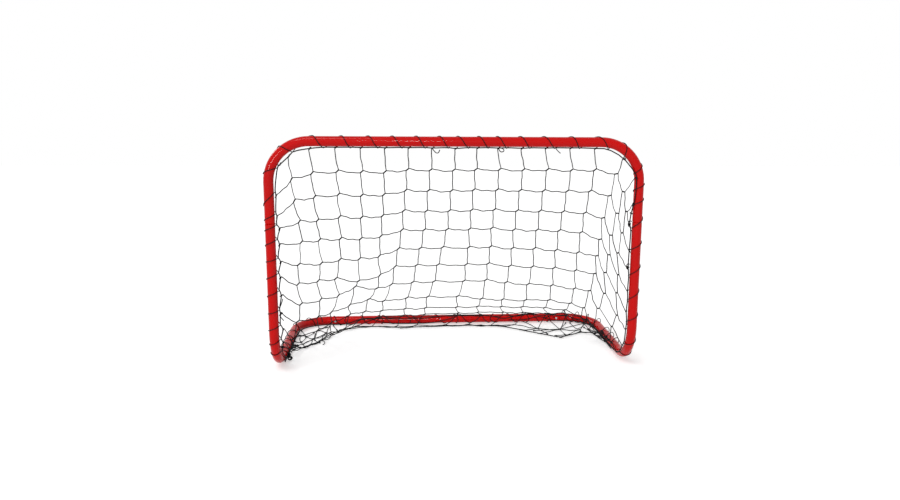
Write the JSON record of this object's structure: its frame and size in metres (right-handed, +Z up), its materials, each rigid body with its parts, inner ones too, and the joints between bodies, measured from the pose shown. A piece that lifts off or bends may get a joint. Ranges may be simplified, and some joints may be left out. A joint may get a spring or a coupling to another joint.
{
  "type": "floorball goal",
  "caption": "Small floorball practice goal: tubular steel frame in plug-together sections held by spring buttons, with a black knotted net laced on by spiral cord.",
  "frame": {"origin": "on the floor, half way across and half way between the front of the mouth and the back rail", "axes": "+X across the goal to the right as seen from in front, +Y from the mouth to the back, +Z up"},
  "size_m": [0.9546, 0.4546, 0.6095],
  "materials": {
    "powder_coat": "gloss red powder coat",
    "button_steel": "zinc plated, turned",
    "spring_steel": "blued spring strip",
    "lacing_cord": "laid polyethylene cord, matt",
    "selvedge_cord": "laid polyethylene cord, matt",
    "net_twine": "knotted polyethylene twine, matt"
  },
  "bodies": {
    "goal": {"top_frame": "powder_coat", "left_side_frame": "powder_coat", "right_side_frame": "powder_coat", "back_rail": "powder_coat", "snap_spring_post_left": "spring_steel", "snap_spring_post_right": "spring_steel", "snap_spring_rail_left": "spring_steel", "snap_spring_rail_right": "spring_steel", "lacing_crossbar": "lacing_cord", "lacing_left_post": "lacing_cord", "lacing_right_post": "lacing_cord", "lacing_left_rail": "lacing_cord", "lacing_right_rail": "lacing_cord", "lacing_back_rail": "lacing_cord", "edge_cord_mouth": "selvedge_cord", "edge_cord_base": "selvedge_cord", "net_back": "net_twine", "net_left_side": "net_twine", "net_right_side": "net_twine", "net_floor_slack": "net_twine"},
    "button_post_left": {"snap_button_post_left": "button_steel"},
    "button_post_right": {"snap_button_post_right": "button_steel"},
    "button_rail_left": {"snap_button_rail_left": "button_steel"},
    "button_rail_right": {"snap_button_rail_right": "button_steel"}
  },
  "joints": [
    {"name": "post_left_press", "type": "slide", "parent": "goal", "child": "button_post_left", "axis": [0, -1, 0], "range_m": [0, 0.0044], "stiffness_N_per_m": 1000, "springref_m": -0.002, "deforming": ["snap_spring_post_left"]},
    {"name": "post_right_press", "type": "slide", "parent": "goal", "child": "button_post_right", "axis": [0, -1, 0], "range_m": [0, 0.0044], "stiffness_N_per_m": 1000, "springref_m": -0.002, "deforming": ["snap_spring_post_right"]},
    {"name": "rail_left_press", "type": "slide", "parent": "goal", "child": "button_rail_left", "axis": [0, 1, 0], "range_m": [0, 0.0044], "stiffness_N_per_m": 1000, "springref_m": -0.002, "deforming": ["snap_spring_rail_left"]},
    {"name": "rail_right_press", "type": "slide", "parent": "goal", "child": "button_rail_right", "axis": [0, 1, 0], "range_m": [0, 0.0044], "stiffness_N_per_m": 1000, "springref_m": -0.002, "deforming": ["snap_spring_rail_right"]}
  ]
}
